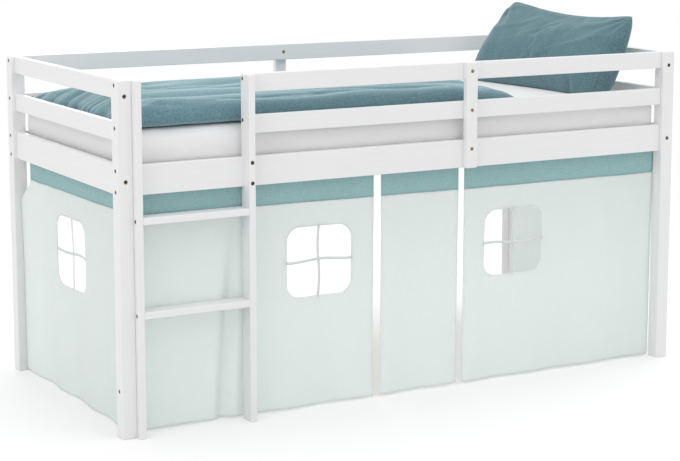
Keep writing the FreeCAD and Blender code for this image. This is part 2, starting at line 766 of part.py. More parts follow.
def make_curtains():
    """Make the hook tapes and the five curtains that hang from them."""
    gap = value("curtain_end_gap")
    size = ("right_inner - left_inner - 2 * curtain_end_gap", "tape_thickness", "tape_height")
    publish(box("front_tape", size, ("left_inner + curtain_end_gap", "front_rail_back", "tape_bottom")),
            "front_hook_tape")
    size = ("tape_thickness", "back_inner - front_inner - 2 * curtain_end_gap", "tape_height")
    for label, x in (("left", "left_rail_back"), ("right", "right_rail_face - tape_thickness")):
        publish(box(label + "_tape", size, (x, "front_inner + curtain_end_gap", "tape_bottom")), label + "_hook_tape")

    front = value("front_rail_back") + value("tape_thickness")
    start = value("left_inner") + gap
    left_width = value("front_left_curtain_width")
    middle_start = start + left_width + value("first_slit_width")
    right_start = middle_start + value("front_middle_curtain_width") + value("second_slit_width")
    right_width = value("right_inner") - gap - right_start
    long_folds = int(value("long_fold_count"))
    short_folds = int(value("short_fold_count"))
    edge = value("window_edge_distance")
    straight = FreeCAD.Rotation()
    make_curtain("front_left", left_width, long_folds, FreeCAD.Vector(start, front, 0), straight, left_width - edge)
    make_curtain("front_middle", value("front_middle_curtain_width"), short_folds,
                 FreeCAD.Vector(middle_start, front, 0), straight)
    make_curtain("front_right", right_width, long_folds, FreeCAD.Vector(right_start, front, 0), straight, edge)

    end_width = value("back_inner") - value("front_inner") - 2 * gap
    left = FreeCAD.Vector(value("left_rail_back") + value("tape_thickness"), value("back_inner") - gap, 0)
    make_curtain("left_end", end_width, long_folds, left, FreeCAD.Rotation(Z_AXIS, -90), end_width / 2)
    right = FreeCAD.Vector(value("right_rail_face") - value("tape_thickness"), value("front_inner") + gap, 0)
    make_curtain("right_end", end_width, long_folds, right, FreeCAD.Rotation(Z_AXIS, 90), end_width / 2)


def check_document():
    """Stop if an object of the document failed or a piece is not sound."""
    for item in doc.Objects:
        if "Invalid" in item.State or "Error" in item.State:
            raise RuntimeError(f"{item.Label} failed: {item.State}")
    for item in nodes:
        if item.Shape.isNull() or not item.Shape.isValid() or not item.Shape.Solids:
            raise RuntimeError(f"{item.Label} is not a sound solid")


def write_parts():
    """Write each piece to a file of its own name."""
    os.makedirs("parts", exist_ok=True)
    for item in nodes:
        item.Shape.exportStep(f"parts/{item.Label}.step")
        print(f"{item.Label}: {len(item.Shape.Solids)} solids, {item.Shape.Volume:.0f} mm3")


fill_sheet()
make_posts()
make_rails()
make_stiles()
make_ladder()
make_bolts()
make_dowels()
make_base()
finish_timbers()
make_mattress()
make_duvet()
make_pillow()
make_curtains()
doc.recompute()
check_document()
write_parts()
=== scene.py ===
"""Looks of a half-high children's bed with curtains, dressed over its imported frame.

Lengths are in metres. +X runs along the bed, +Y from the ladder side to the rear and +Z up.
"""
import logging
import math
from collections.abc import Callable, Iterable, Mapping
from dataclasses import dataclass
from enum import Enum
from functools import cached_property

import bmesh
import bpy
from mathutils import Matrix, Vector, noise


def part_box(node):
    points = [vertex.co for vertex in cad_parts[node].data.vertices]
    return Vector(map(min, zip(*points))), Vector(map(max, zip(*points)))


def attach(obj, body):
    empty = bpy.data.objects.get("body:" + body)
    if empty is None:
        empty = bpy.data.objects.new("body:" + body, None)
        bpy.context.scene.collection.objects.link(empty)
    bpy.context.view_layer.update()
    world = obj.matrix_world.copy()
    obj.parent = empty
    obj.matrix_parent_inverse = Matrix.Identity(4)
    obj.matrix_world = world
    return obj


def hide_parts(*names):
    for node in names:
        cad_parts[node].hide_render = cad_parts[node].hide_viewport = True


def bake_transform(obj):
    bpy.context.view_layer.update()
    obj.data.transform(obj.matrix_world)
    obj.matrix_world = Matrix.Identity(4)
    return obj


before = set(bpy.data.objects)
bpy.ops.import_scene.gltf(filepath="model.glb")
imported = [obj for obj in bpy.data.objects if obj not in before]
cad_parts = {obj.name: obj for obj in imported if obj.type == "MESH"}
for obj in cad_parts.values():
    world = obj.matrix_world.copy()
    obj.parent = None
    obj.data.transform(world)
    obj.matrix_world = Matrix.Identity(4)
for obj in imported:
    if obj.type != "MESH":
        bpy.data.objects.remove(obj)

LOG = logging.getLogger("bed")
UV_NAME = "cloth"
EDGE_NAME = "edge_gap"
SEAM_NAME = "seam"

Colour = tuple[float, float, float]
Triple = tuple[float, float, float]

UPRIGHT_RISE = 1e-4
FLAT_NORMAL = 0.9
ROUND_STEPS = 6


class Term:
    """One output of a material's nodes, which sums and products can use."""

    def __init__(self, recipe: "Recipe", socket: bpy.types.NodeSocket) -> None:
        """Keep the output and the recipe that it belongs to."""
        self.recipe = recipe
        self.socket = socket

    def _math(self, operation: str, first: object, second: object = 0.0) -> "Term":
        """Return the result of a Math node on two values."""
        return self.recipe.node("ShaderNodeMath", {"operation": operation}, {0: first, 1: second})

    def __add__(self, other: object) -> "Term":
        """Return this plus other."""
        return self._math("ADD", self, other)

    __radd__ = __add__

    def __sub__(self, other: object) -> "Term":
        """Return this less other."""
        return self._math("SUBTRACT", self, other)

    def __rsub__(self, other: object) -> "Term":
        """Return other less this."""
        return self._math("SUBTRACT", other, self)

    def __mul__(self, other: object) -> "Term":
        """Return this times other."""
        return self._math("MULTIPLY", self, other)

    __rmul__ = __mul__

    def sine(self) -> "Term":
        """Return the sine of this."""
        return self._math("SINE", self)

    def part(self, name: str) -> "Term":
        """Return another output of the same node."""
        return Term(self.recipe, self.socket.node.outputs[name])

    def step(self, low: float, high: float) -> "Term":
        """Return a smooth step from 0 at low to 1 at high."""
        settings = {"interpolation_type": "SMOOTHSTEP"}
        inputs = {"Value": self, "From Min": low, "From Max": high}
        return self.recipe.node("ShaderNodeMapRange", settings, inputs)


class Recipe:
    """The nodes of one material."""

    def __init__(self, tree: bpy.types.NodeTree) -> None:
        """Take over a node tree and clear it."""
        self.tree = tree
        self.tree.nodes.clear()

    def node(
        self,
        kind: str,
        settings: Mapping[str, object] | None = None,
        inputs: Mapping[str | int, object] | None = None,
        output: str | int = 0,
    ) -> Term | None:
        """Add a node.

        Args:
            kind: The node's type.
            settings: The node's own settings, which are set first.
            inputs: A value or a Term for each socket, by name or number.
            output: The output that is wanted.

        Returns:
            The wanted output, or None for a node that has none.
        """
        made = self.tree.nodes.new(kind)
        for name, setting in (settings or {}).items():
            setattr(made, name, setting)
        for name, given in (inputs or {}).items():
            if isinstance(given, Term):
                self.tree.links.new(given.socket, made.inputs[name])
            elif isinstance(given, tuple) and made.inputs[name].type == "RGBA":
                made.inputs[name].default_value = (*given, 1.0)
            else:
                made.inputs[name].default_value = given
        return Term(self, made.outputs[output]) if made.outputs else None

    def mixed(self, share: object, first: object, second: object) -> Term:
        """Return a colour between two others."""
        return self.node("ShaderNodeMix", {"data_type": "RGBA"}, {0: share, 6: first, 7: second}, 2)

    def stretched(self, place: Term, scale: Triple) -> Term:
        """Return coordinates scaled along each axis."""
        return self.node("ShaderNodeMapping", None, {"Vector": place, "Scale": scale})

    def speckle(self, place: Term, scale: float, detail: float = 2.0) -> Term:
        """Return noise from 0 to 1."""
        return self.node("ShaderNodeTexNoise", None, {"Vector": place, "Scale": scale, "Detail": detail})

    def bump(self, height: Term, depth: float, strength: float = 1.0) -> Term:
        """Return a normal that follows a height of a given depth."""
        return self.node("ShaderNodeBump", None, {"Strength": strength, "Distance": depth, "Height": height})

    def surface(self, inputs: Mapping[str | int, object]) -> None:
        """End the material in one Principled shader."""
        shader = self.node("ShaderNodeBsdfPrincipled", None, inputs)
        self.node("ShaderNodeOutputMaterial", None, {"Surface": shader})


def new_material(name: str) -> tuple[bpy.types.Material, Recipe]:
    """Return an empty material and its recipe."""
    material = bpy.data.materials.new(name)
    material.use_nodes = True
    return material, Recipe(material.node_tree)


class Grain(Enum):
    """The way that the grain of a timber runs, as the number of its axis."""

    LENGTHWISE = 0
    CROSSWISE = 1
    UPRIGHT = 2

    def scale(self, stretch: float) -> Triple:
        """Return a scale that draws a pattern out along the grain."""
        return tuple(stretch if axis == self.value else 1.0 for axis in range(3))


class ThreadPath(Enum):
    """What the threads of a cloth follow."""

    SHEET = "the sheet's own map"
    PLACE = "the place on the bed"


@dataclass(frozen=True)
class Lacquer:
    """White lacquer over pine, through which the grain shows faintly."""

    name: str
    grain: Grain
    colour: Colour = (0.845, 0.845, 0.85)
    shaded: Colour = (0.825, 0.825, 0.832)
    stretch: float = 0.045
    figure_scale: float = 95.0
    pore_scale: float = 520.0
    flow_scale: float = 55.0
    cloud_scale: float = 2.2
    roughness: float = 0.36
    relief: float = 0.00025
    coat: float = 0.12
    coat_roughness: float = 0.3

    def make(self) -> bpy.types.Material:
        """Return the material."""
        material, recipe = new_material(self.name)
        place = recipe.node("ShaderNodeTexCoord", output="Object")
        along = recipe.stretched(place, self.grain.scale(self.stretch))
        figure = recipe.speckle(along, self.figure_scale, 4.0)
        pores = recipe.speckle(along, self.pore_scale)
        flow = recipe.speckle(place, self.flow_scale, 1.0)
        tone = figure.step(0.38, 0.68) * 0.5 + recipe.speckle(place, self.cloud_scale) * 0.5
        recipe.surface({
            "Base Color": recipe.mixed(tone, self.shaded, self.colour),
            "Roughness": self.roughness + 0.12 * flow + 0.06 * pores,
            "Normal": recipe.bump(figure * 0.6 + pores * 0.25 + flow * 0.3, self.relief, 0.3),
            "Coat Weight": self.coat,
            "Coat Roughness": self.coat_roughness,
        })
        return material


@dataclass(frozen=True)
class BarePine:
    """Planed pine without a finish."""

    name: str
    grain: Grain
    early: Colour = (0.78, 0.64, 0.46)
    late: Colour = (0.60, 0.42, 0.24)
    stretch: float = 0.035
    ring_scale: float = 14.0
    ring_turns: float = 60.0
    fibre_scale: float = 420.0
    roughness: float = 0.55
    relief: float = 0.0004

    def make(self) -> bpy.types.Material:
        """Return the material."""
        material, recipe = new_material(self.name)
        place = recipe.node("ShaderNodeTexCoord", output="Object")
        along = recipe.stretched(place, self.grain.scale(self.stretch))
        wander = recipe.speckle(along, self.ring_scale)
        rings = (wander * self.ring_turns).sine() * 0.5 + 0.5
        fibre = recipe.speckle(along, self.fibre_scale, 3.0)
        late = rings * rings * (0.35 + 0.4 * fibre)
        recipe.surface({
            "Base Color": recipe.mixed(late, self.early, self.late),
            "Roughness": self.roughness + 0.2 * fibre,
            "Normal": recipe.bump(rings * 0.3 + fibre * 0.7, self.relief, 0.5),
        })
        return material


@dataclass(frozen=True)
class Metal:
    """Turned or plated metal with slight tarnish."""

    name: str
    colour: Colour
    tarnish: Colour
    roughness: float
    metallic: float = 0.9
    cloud_scale: float = 160.0
    scratch_scale: float = 1900.0
    scratch_stretch: Triple = (1.0, 1.0, 0.12)
    relief: float = 0.00006

    def make(self) -> bpy.types.Material:
        """Return the material."""
        material, recipe = new_material(self.name)
        place = recipe.node("ShaderNodeTexCoord", output="Object")
        cloud = recipe.speckle(place, self.cloud_scale, 3.0)
        scratch = recipe.speckle(recipe.stretched(place, self.scratch_stretch), self.scratch_scale)
        recipe.surface({
            "Base Color": recipe.mixed(cloud.step(0.35, 0.7), self.colour, self.tarnish),
            "Metallic": self.metallic,
            "Roughness": self.roughness + 0.18 * cloud,
            "Normal": recipe.bump(scratch, self.relief, 0.5),
        })
        return material


@dataclass(frozen=True)
class Cloth:
    """Woven cloth with uneven threads, faded in soft clouds and stitched along its hems."""

    name: str
    colour: Colour
    shaded: Colour
    path: ThreadPath
    thread: float = 0.0012
    slub: float = 0.5
    fade: float = 0.3
    mottle: float = 0.0
    fuzz: float = 0.15
    fuzz_colour: Colour = (1.0, 1.0, 1.0)
    crease: float = 0.0
    hem: float = 0.0
    stitch: float = 0.004
    glow: float = 0.0
    glow_reach: float = 0.005
    slub_scale: float = 420.0
    cloud_scale: float = 7.0
    yarn_scale: float = 190.0
    fold_scale: float = 42.0
    line_half: float = 0.0003
    line_reach: float = 0.0009
    hem_edge: float = 0.0012
    roughness: float = 0.82
    relief: float = 0.0006

    def _weave(self, recipe: Recipe, place: Term) -> Term:
        """Return the height of the threads, from 0 to 1."""
        axes = recipe.node("ShaderNodeSeparateXYZ", None, {"Vector": place}, "X")
        turn = 2 * math.pi / self.thread
        waves = [(axes.part(letter) * turn).sine() for letter in "XYZ"]
        if self.path is ThreadPath.SHEET:
            return waves[0] * waves[1] * 0.5 + 0.5
        return (waves[0] * waves[1] + waves[1] * waves[2] + waves[2] * waves[0]) * 0.3 + 0.5

    def _slubs(self, recipe: Recipe, place: Term) -> Term:
        """Return the thick and thin places of the threads both ways, from 0 to 1."""
        warp = recipe.speckle(recipe.stretched(place, (1.0, 0.07, 1.0)), self.slub_scale)
        weft = recipe.speckle(recipe.stretched(place, (0.07, 1.0, 0.4)), self.slub_scale)
        return warp * 0.5 + weft * 0.5

    def make(self) -> bpy.types.Material:
        """Return the material."""
        material, recipe = new_material(self.name)
        source = "UV" if self.path is ThreadPath.SHEET else "Object"
        place = recipe.node("ShaderNodeTexCoord", output=source)
        weave = self._weave(recipe, place)
        slubs = self._slubs(recipe, place)
        cloud = recipe.speckle(place, self.cloud_scale, 3.0)
        tone = slubs.step(0.3, 0.7) * self.slub + cloud * self.fade + weave * (1 - self.slub - self.fade)
        if self.mottle:
            yarn = recipe.speckle(recipe.stretched(place, (1.0, 1.0, 0.6)), self.yarn_scale)
            tone = tone + (yarn.step(0.3, 0.7) - 0.5) * self.mottle
        height = weave * 0.35 + slubs * 0.65
        if self.crease:
            folds = recipe.speckle(recipe.stretched(place, (0.35, 1.0, 1.0)), self.fold_scale, 3.0)
            height = height + folds * (self.crease / self.relief)
        if self.hem:
            gap = recipe.node("ShaderNodeAttribute", {"attribute_name": EDGE_NAME}, output="Fac")
            axes = recipe.node("ShaderNodeSeparateXYZ", None, {"Vector": place}, "X")
            beat = ((axes + axes.part("Y")) * (2 * math.pi / self.stitch)).sine().step(-0.3, 0.1)
            start = gap.step(self.hem - self.line_reach, self.hem - self.line_half)
            line = start - gap.step(self.hem + self.line_half, self.hem + self.line_reach)
            fold = 1 - gap.step(self.hem, self.hem + self.hem_edge)
            height = height + fold * 1.3 - line * beat * 1.6
            tone = tone + line * beat * 0.35 - fold * 0.06
        recipe.surface({
            "Base Color": recipe.mixed(tone, self.shaded, self.colour),
            "Roughness": self.roughness + 0.14 * slubs,
            "Normal": recipe.bump(height, self.relief, 0.6),
            "Specular IOR Level": 0.25,
            "Sheen Weight": self.fuzz,
            "Sheen Tint": self.fuzz_colour,
            "Sheen Roughness": 0.5,
            "Subsurface Weight": self.glow,
            "Subsurface Radius": (1.0, 1.0, 1.0),
            "Subsurface Scale": self.glow_reach,
        })
        return material


WHITE_RAIL = Lacquer("white_lacquer_lengthwise", Grain.LENGTHWISE)
WHITE_END_RAIL = Lacquer("white_lacquer_crosswise", Grain.CROSSWISE)
WHITE_POST = Lacquer("white_lacquer_upright", Grain.UPRIGHT)
PINE_BATTEN = BarePine("bare_pine_lengthwise", Grain.LENGTHWISE)
PINE_SLAT = BarePine("bare_pine_crosswise", Grain.CROSSWISE)
BRONZED = Metal("bronzed_bolt", (0.20, 0.13, 0.07), (0.05, 0.035, 0.02), 0.34)
BRASSED = Metal("brassed_bolt", (0.50, 0.38, 0.22), (0.30, 0.23, 0.14), 0.42)
ZINC = Metal("zinc", (0.62, 0.63, 0.65), (0.42, 0.43, 0.46), 0.34)
WEBBING = Cloth("webbing", (0.80, 0.78, 0.72), (0.62, 0.60, 0.54), ThreadPath.PLACE, thread=0.002)
HOOK_TAPE = Cloth(
    "hook_tape", (0.85, 0.85, 0.84), (0.70, 0.70, 0.70), ThreadPath.PLACE, thread=0.0016, fuzz=0.4
)
SHEET_COTTON = Cloth(
    "white_cover", (0.86, 0.86, 0.865), (0.80, 0.80, 0.81), ThreadPath.PLACE, slub=0.35, crease=0.0006
)
TEAL_FUZZ = (0.76, 0.97, 1.0)
DUVET_COTTON = Cloth(
    "teal_cloth_duvet",
    (0.163, 0.292, 0.336),
    (0.070, 0.150, 0.182),
    ThreadPath.PLACE,
    mottle=0.45,
    fuzz=0.7,
    fuzz_colour=TEAL_FUZZ,
    crease=0.0018,
)
PILLOW_COTTON = Cloth(
    "pillow_cloth",
    (0.142, 0.247, 0.28),
    (0.073, 0.143, 0.165),
    ThreadPath.SHEET,
    mottle=0.6,
    fuzz=0.25,
    fuzz_colour=TEAL_FUZZ,
    crease=0.0018,
)
HEADER_COTTON = Cloth(
    "teal_cloth_header",
    (0.358, 0.553, 0.560),
    (0.245, 0.405, 0.416),
    ThreadPath.SHEET,
    slub=0.6,
    mottle=0.3,
    hem=0.006,
)
MINT_COTTON = Cloth(
    "mint_cloth",
    (0.697, 0.776, 0.755),
    (0.632, 0.723, 0.70),
    ThreadPath.SHEET,
    slub=0.4,
    hem=0.011,
    glow=1.0,
)
RIBBON = Cloth("ribbon", (0.80, 0.84, 0.82), (0.68, 0.73, 0.71), ThreadPath.SHEET, thread=0.0009)


class Wardrobe:
    """The materials made so far, one for each finish."""

    def __init__(self) -> None:
        """Start with no materials."""
        self.made: dict[str, bpy.types.Material] = {}

    def dress(self, piece: bpy.types.Object, finish: Lacquer | BarePine | Metal | Cloth) -> None:
        """Give a piece one finish all over."""
        if finish.name not in self.made:
            self.made[finish.name] = finish.make()
        piece.data.materials.clear()
        piece.data.materials.append(self.made[finish.name])


def new_piece(name: str, mesh: bmesh.types.BMesh) -> bpy.types.Object:
    """Turn a bmesh into a smooth-shaded piece of the scene.

    Args:
        name: The piece's name.
        mesh: The shape, in the bed's frame. It is freed.

    Returns:
        The new object, which sits at the origin.
    """
    data = bpy.data.meshes.new(name)
    mesh.to_mesh(data)
    mesh.free()
    data.shade_smooth()
    piece = bpy.data.objects.new(name, data)
    bpy.context.scene.collection.objects.link(piece)
    return piece


def flat_grid(width: float, height: float, pitch: float) -> bmesh.types.BMesh:
    """Return a flat grid of nearly square faces round the origin."""
    mesh = bmesh.new()
    columns, rows = round(width / pitch), round(height / pitch)
    bmesh.ops.create_grid(mesh, x_segments=columns, y_segments=rows, size=0.5)
    bmesh.ops.scale(mesh, vec=(width, height, 1.0), verts=mesh.verts)
    return mesh


def map_flat(mesh: bmesh.types.BMesh) -> None:
    """Map a flat shape by its own X and Y."""
    uv = mesh.loops.layers.uv.new(UV_NAME)
    for face in mesh.faces:
        for loop in face.loops:
            loop[uv].uv = loop.vert.co.xy


def freeze(piece: bpy.types.Object) -> None:
    """Apply the modifiers of a piece to its mesh."""
    graph = bpy.context.evaluated_depsgraph_get()
    data = bpy.data.meshes.new_from_object(piece.evaluated_get(graph))
    old = piece.data
    piece.modifiers.clear()
    piece.data = data
    bpy.data.meshes.remove(old)
    data.name = piece.name
    data.shade_smooth()


def remesh(piece: bpy.types.Object, voxel: float) -> None:
    """Rebuild a closed piece with even square faces."""
    modifier = piece.modifiers.new("even_faces", "REMESH")
    modifier.mode = "VOXEL"
    modifier.voxel_size = voxel
    freeze(piece)


def refine(piece: bpy.types.Object) -> None:
    """Divide each face of a piece in four and smooth them."""
    modifier = piece.modifiers.new("finer_faces", "SUBSURF")
    modifier.levels = modifier.render_levels = 1
    freeze(piece)


def thicken(piece: bpy.types.Object, thickness: float, side: float) -> None:
    """Give a sheet its thickness, to the side of its normals or to the other."""
    modifier = piece.modifiers.new("thickness", "SOLIDIFY")
    modifier.thickness = thickness
    modifier.offset = side


def reshape(piece: bpy.types.Object, move: Callable[[Vector, Vector], Vector]) -> None:
    """Move each point of a piece.

    Args:
        piece: The piece to change.
        move: What gives a point's new place from its place and its normal.
    """
    moved = [move(vertex.co, vertex.normal) for vertex in piece.data.vertices]
    for vertex, place in zip(piece.data.vertices, moved):
        vertex.co = place
    piece.data.update()


@dataclass(frozen=True)
class Pattern:
    """Where noise is read: how closely it follows each axis, and where it starts."""

    scale: Triple
    start: Triple = (0.0, 0.0, 0.0)

    def at(self, point: Vector) -> Vector:
        """Return the place in the noise that belongs to a point."""
        return Vector(point[axis] * self.scale[axis] + self.start[axis] for axis in range(3))


def ridge(place: Vector) -> float:
    """Return a sharp-topped wrinkle from 0 to 1."""
    return (1.0 - abs(noise.noise(place))) ** 3


def hollow(place: Vector) -> float:
    """Return a soft bulge from 0 to 1 with sharp creases between."""
    return min(abs(noise.noise(place)) * 2.6, 1.0) ** 0.6


def ease(share: float) -> float:
    """Return a smooth step of a share, held from 0 to 1."""
    held = min(max(share, 0.0), 1.0)
    return held * held * (3 - 2 * held)


@dataclass(frozen=True)
class Swell:
    """How a padded cover is blown up as simulated cloth."""

    pressure: float
    frames: int
    travel: float
    slack: float
    stiffness: float = 15.0
    shear: float = 5.0
    bending: float = 0.5
    mass: float = 0.2
    quality: int = 5
    pucker: float = 0.0

    def apply(self, piece: bpy.types.Object) -> None:
        """Simulate a piece and keep the shape, with each point held near its start.

        Args:
            piece: A closed piece, whose points are changed. With pucker, its seam points draw together.
        """
        starts = [vertex.co.copy() for vertex in piece.data.vertices]
        modifier = piece.modifiers.new("swell", "CLOTH")
        cover = modifier.settings
        cover.quality = self.quality
        cover.mass = self.mass
        cover.tension_stiffness = cover.compression_stiffness = self.stiffness
        cover.shear_stiffness = self.shear
        cover.bending_stiffness = self.bending
        cover.use_pressure = True
        cover.uniform_pressure_force = self.pressure
        cover.shrink_min = -self.slack
        cover.shrink_max = self.pucker if self.pucker else -self.slack
        if self.pucker:
            cover.vertex_group_shrink = SEAM_NAME
        cover.effector_weights.gravity = 0.0
        modifier.collision_settings.use_collision = False
        modifier.point_cache.frame_end = self.frames
        for number in range(1, self.frames + 1):
            bpy.context.scene.frame_set(number)
        freeze(piece)
        bpy.context.scene.frame_set(1)
        for vertex, start in zip(piece.data.vertices, starts):
            shift = vertex.co - start
            if shift.length > self.travel:
                vertex.co = start + shift.normalized() * self.travel
        piece.data.update()


@dataclass(frozen=True)
class Joinery:
    """The timbers, fasteners and slatted base, which keep their solids."""

    rails: tuple[str, ...] = ("top_guard_rail", "lower_guard_rail", "side_rail")
    long_sides: tuple[str, ...] = ("front", "rear")
    ends: tuple[str, ...] = ("left", "right")
    rungs: tuple[str, ...] = ("lower_rung", "upper_rung")
    uprights: tuple[str, ...] = (
        "ladder_left_upright", "ladder_right_upright", "front_guard_stile", "rear_guard_stile"
    )
    bronzed: tuple[str, ...] = ("post_bolts", "ladder_post_bolts", "ladder_bolts", "ladder_rail_bolts")
    brassed: tuple[str, ...] = ("stile_bolts",)
    plated: tuple[str, ...] = ("barrel_nuts", "insert_nuts", "batten_screws")

    def finishes(self) -> dict[str, Lacquer | BarePine | Metal | Cloth]:
        """Return the finish of each node."""
        found = {f"{side}_{rail}": WHITE_RAIL for side in self.long_sides for rail in self.rails}
        found |= {f"{end}_{rail}": WHITE_END_RAIL for end in self.ends for rail in self.rails}
        found |= {f"{side}_{end}_post": WHITE_POST for side in self.long_sides for end in self.ends}
        found |= dict.fromkeys(self.rungs, WHITE_RAIL)
        found |= dict.fromkeys(self.uprights, WHITE_POST)
        found |= dict.fromkeys(self.bronzed, BRONZED)
        found |= dict.fromkeys(self.brassed, BRASSED)
        found |= dict.fromkeys(self.plated, ZINC)
        found |= {f"{side}_batten": PINE_BATTEN for side in self.long_sides}
        found |= {"slats": PINE_SLAT, "dowels": PINE_BATTEN, "slat_webbing": WEBBING}
        found |= {f"{side}_hook_tape": HOOK_TAPE for side in ("front", *self.ends)}
        return found

    def dress(self, wardrobe: Wardrobe) -> None:
        """Give each node its finish."""
        for name, finish in self.finishes().items():
            wardrobe.dress(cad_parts[name], finish)
            LOG.info("%s: %s", name, finish.name)


@dataclass(frozen=True)
class Window:
    """A rounded window in a curtain, with a cross of ribbons behind it."""

    width: float = 0.232
    height: float = 0.225
    radius: float = 0.045
    ribbon_width: float = 0.009
    ribbon_overlap: float = 0.010
    ribbon_thickness: float = 0.0006
    ribbon_slack: float = 0.006
    ribbon_pitch: float = 0.006
    ribbon_turn: float = 4.2
    ribbon_offset: float = 1.7
    ribbon_stack: float = 1.2

    def gap(self, x: float, y: float) -> float:
        """Return how far a point lies outside the window, less than 0 inside.

        Args:
            x: The point's distance along the curtain from the window's middle.
            y: Its height above the middle.

        Returns:
            The distance to the window's edge.
        """
        across = Vector((abs(x) - self.width / 2 + self.radius, abs(y) - self.height / 2 + self.radius))
        outside = Vector((max(across.x, 0.0), max(across.y, 0.0))).length
        return outside + min(max(across.x, across.y), 0.0) - self.radius

    def onto_edge(self, x: float, y: float) -> tuple[float, float]:
        """Return the point of the window's edge that is nearest to a point outside it."""
        core = Vector((
            min(max(x, self.radius - self.width / 2), self.width / 2 - self.radius),
            min(max(y, self.radius - self.height / 2), self.height / 2 - self.radius),
        ))
        nearest = core + (Vector((x, y)) - core).normalized() * self.radius
        return nearest.x, nearest.y


@dataclass(frozen=True)
class Fold:
    """One deeper fold that runs down a curtain and opens towards its hem."""

    at: float
    width: float
    depth: float
    drift: float = 0.0
    opening: float = 1.6

    def stand(self, along: float, fall: float) -> float:
        """Return how far the fold stands inward at a place.

        Args:
            along: The distance along the curtain.
            fall: The share of the way from the seam down to the hem.

        Returns:
            The distance inward.
        """
        offset = (along - self.at - self.drift * fall) / self.width
        return self.depth * ease(fall * self.opening) * math.exp(-offset * offset)


